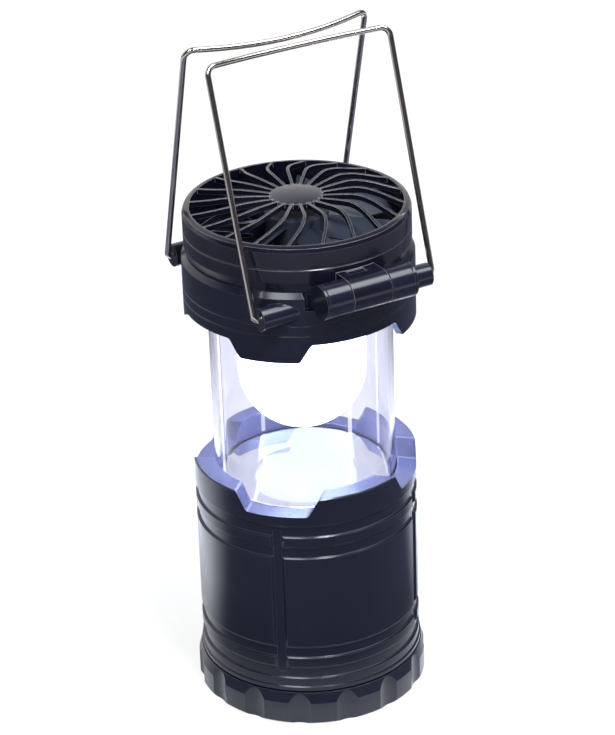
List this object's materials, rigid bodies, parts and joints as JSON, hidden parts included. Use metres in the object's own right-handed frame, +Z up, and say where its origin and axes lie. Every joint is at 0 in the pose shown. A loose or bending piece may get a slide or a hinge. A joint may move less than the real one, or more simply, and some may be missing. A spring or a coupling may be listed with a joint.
{
  "type": "pop-up camping lantern with fan",
  "caption": "Collapsible lantern: the head slides up on a clear tube with a mirror in its foot, a fan in a vaned drum flips up on a front hinge, two wire handles swing over it",
  "frame": {"origin": "on the lantern's axis, on the flat foot of the battery cap", "axes": "+Z up along the lantern's axis, -Y to the front where the fan's hinge is, +X to the right seen from the front"},
  "size_m": [0.09, 0.1008, 0.266],
  "materials": {
    "black_shell": "satin moulded",
    "black_inner": "matt moulded",
    "seal_rubber": "matt",
    "inner_plastic": "matt moulded",
    "cell_steel": "satin",
    "contact_steel": "nickel plated",
    "contact_brass": "polished",
    "mirror_bowl": "vacuum metallised mirror",
    "screw_steel": "zinc plated",
    "clear_plastic": "clear polished",
    "white_plastic": "gloss",
    "board_green": "solder mask",
    "led_glow": "clear epoxy",
    "dome_glow": "frosted",
    "smoke_plastic": "smoky translucent",
    "wire_steel": "polished"
  },
  "bodies": {
    "base": {"body_shell": "black_shell", "cap_seal": "seal_rubber", "inner_floor": "inner_plastic", "battery_cells": "cell_steel", "battery_tray": "inner_plastic", "cell_contacts": "contact_steel", "contact_rails": "contact_brass"},
    "cap": {"battery_cap": "black_shell"},
    "head": {"head_shell": "black_shell", "deck_plate": "black_inner", "deck_screws": "screw_steel", "clear_tube": "clear_plastic", "tube_brushes": "contact_brass", "lamp_plate": "white_plastic", "led_board": "board_green", "led_emitters": "led_glow", "light_dome": "dome_glow", "reflector_bowl": "mirror_bowl", "hinge_pin": "screw_steel", "hinge_caps": "black_shell", "fan_switch_case": "inner_plastic"},
    "switch": {"fan_switch_knob": "black_inner"},
    "fan": {"fan_pan": "black_shell", "grille": "black_shell", "motor": "cell_steel", "motor_screws": "screw_steel"},
    "rotor": {"impeller": "smoke_plastic", "motor_shaft": "screw_steel"},
    "front_handle": {"front_handle_wire": "wire_steel"},
    "rear_handle": {"rear_handle_wire": "wire_steel"}
  },
  "joints": [
    {"name": "pop_up", "type": "slide", "parent": "base", "child": "head", "axis": [0, 0, 1], "range_m": [-0.0642, 0]},
    {"name": "cap_twist", "type": "hinge", "parent": "base", "child": "cap", "pos_m": [0, 0, 0.0067], "axis": [0, 0, 1], "range_deg": [0, 40]},
    {"name": "fan_tilt", "type": "hinge", "parent": "head", "child": "fan", "pos_m": [0, -0.0489, 0.1835], "axis": [1, 0, 0], "range_deg": [0, 90]},
    {"name": "fan_spin", "type": "hinge", "parent": "fan", "child": "rotor", "pos_m": [0, 0, 0.192], "axis": [0, 0, 1], "continuous": true},
    {"name": "front_handle_swing", "type": "hinge", "parent": "head", "child": "front_handle", "pos_m": [0, -0.034, 0.1753], "axis": [1, 0, 0], "range_deg": [0, 193.5]},
    {"name": "rear_handle_swing", "type": "hinge", "parent": "head", "child": "rear_handle", "pos_m": [0, 0.034, 0.1753], "axis": [-1, 0, 0], "range_deg": [0, 190.6]},
    {"name": "fan_switch", "type": "slide", "parent": "head", "child": "switch", "axis": [1, 0, 0], "range_m": [0, 0.004]}
  ],
  "couplings": [
    {"joint": "front_handle_swing", "follows": "fan_tilt", "ratio": 2.15}
  ]
}
